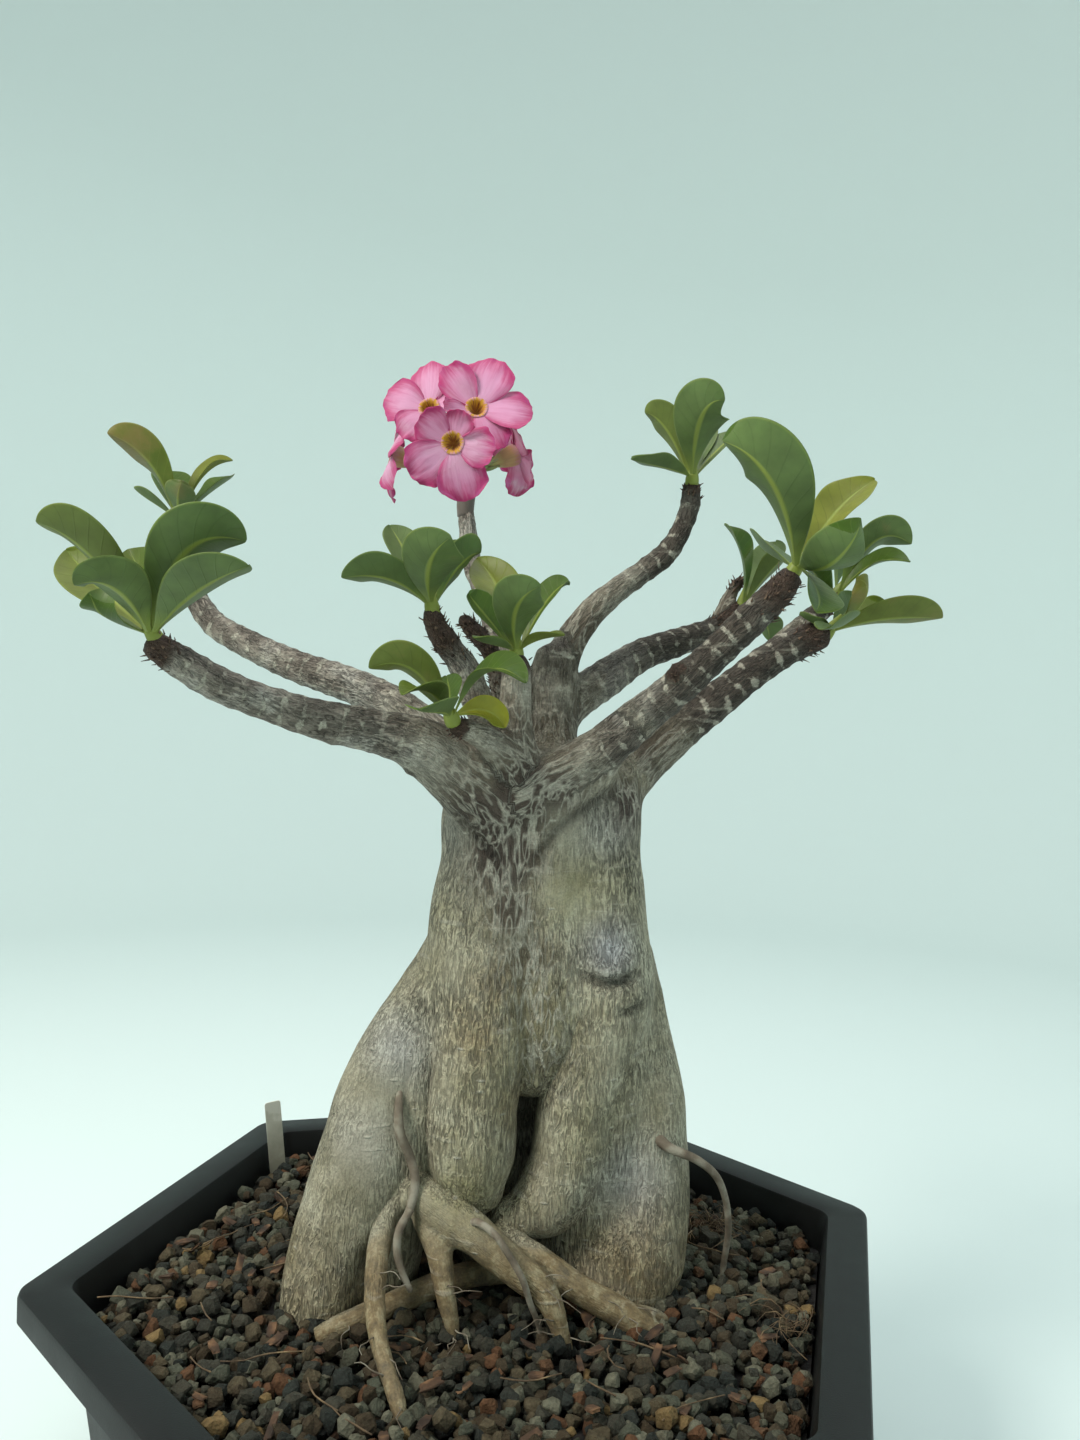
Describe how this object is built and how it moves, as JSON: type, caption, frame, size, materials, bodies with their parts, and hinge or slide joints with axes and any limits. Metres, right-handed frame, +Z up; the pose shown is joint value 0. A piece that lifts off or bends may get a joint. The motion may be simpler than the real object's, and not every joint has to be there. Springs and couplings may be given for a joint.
{
  "type": "potted desert rose adenium",
  "caption": "Desert rose with a swollen grey trunk, bare arching branches, leafy tips and a pink bloom cluster, in a black hexagonal pot of gravel.",
  "frame": {"origin": "centre of the pot's flat underside, on the surface that the pot stands on", "axes": "+Z up, +X to the right and -Y towards the viewer as the plant is best seen, with the long low branches running along X and the pot's first corner 13.93 degrees round from +X"},
  "size_m": [0.5449, 0.4954, 0.7223],
  "materials": {
    "pot_plastic": "satin",
    "gravel": "matte",
    "bark": "matte",
    "leaf": "satin",
    "petal": "matte",
    "throat": "matte",
    "stalk": "matte",
    "label_plastic": "satin"
  },
  "bodies": {
    "root": {"pot": "pot_plastic", "gravel": "gravel", "caudex": "bark", "leaves_front_left": "leaf", "leaves_back_left": "leaf", "leaves_inner_left": "leaf", "leaves_centre": "leaf", "leaves_short_front": "leaf", "leaves_tall_right": "leaf", "leaves_front_right": "leaf", "leaves_back_right": "leaf", "leaves_far_right": "leaf", "leaves_low_right": "leaf", "bloom_left": "petal", "bloom_right": "petal", "bloom_front": "petal", "bloom_side": "petal", "bloom_rear": "petal", "throat_left": "throat", "throat_right": "throat", "throat_front": "throat", "throat_side": "throat", "throat_rear": "throat", "flower_stalks": "stalk", "plant_label": "label_plastic"}
  },
  "joints": []
}
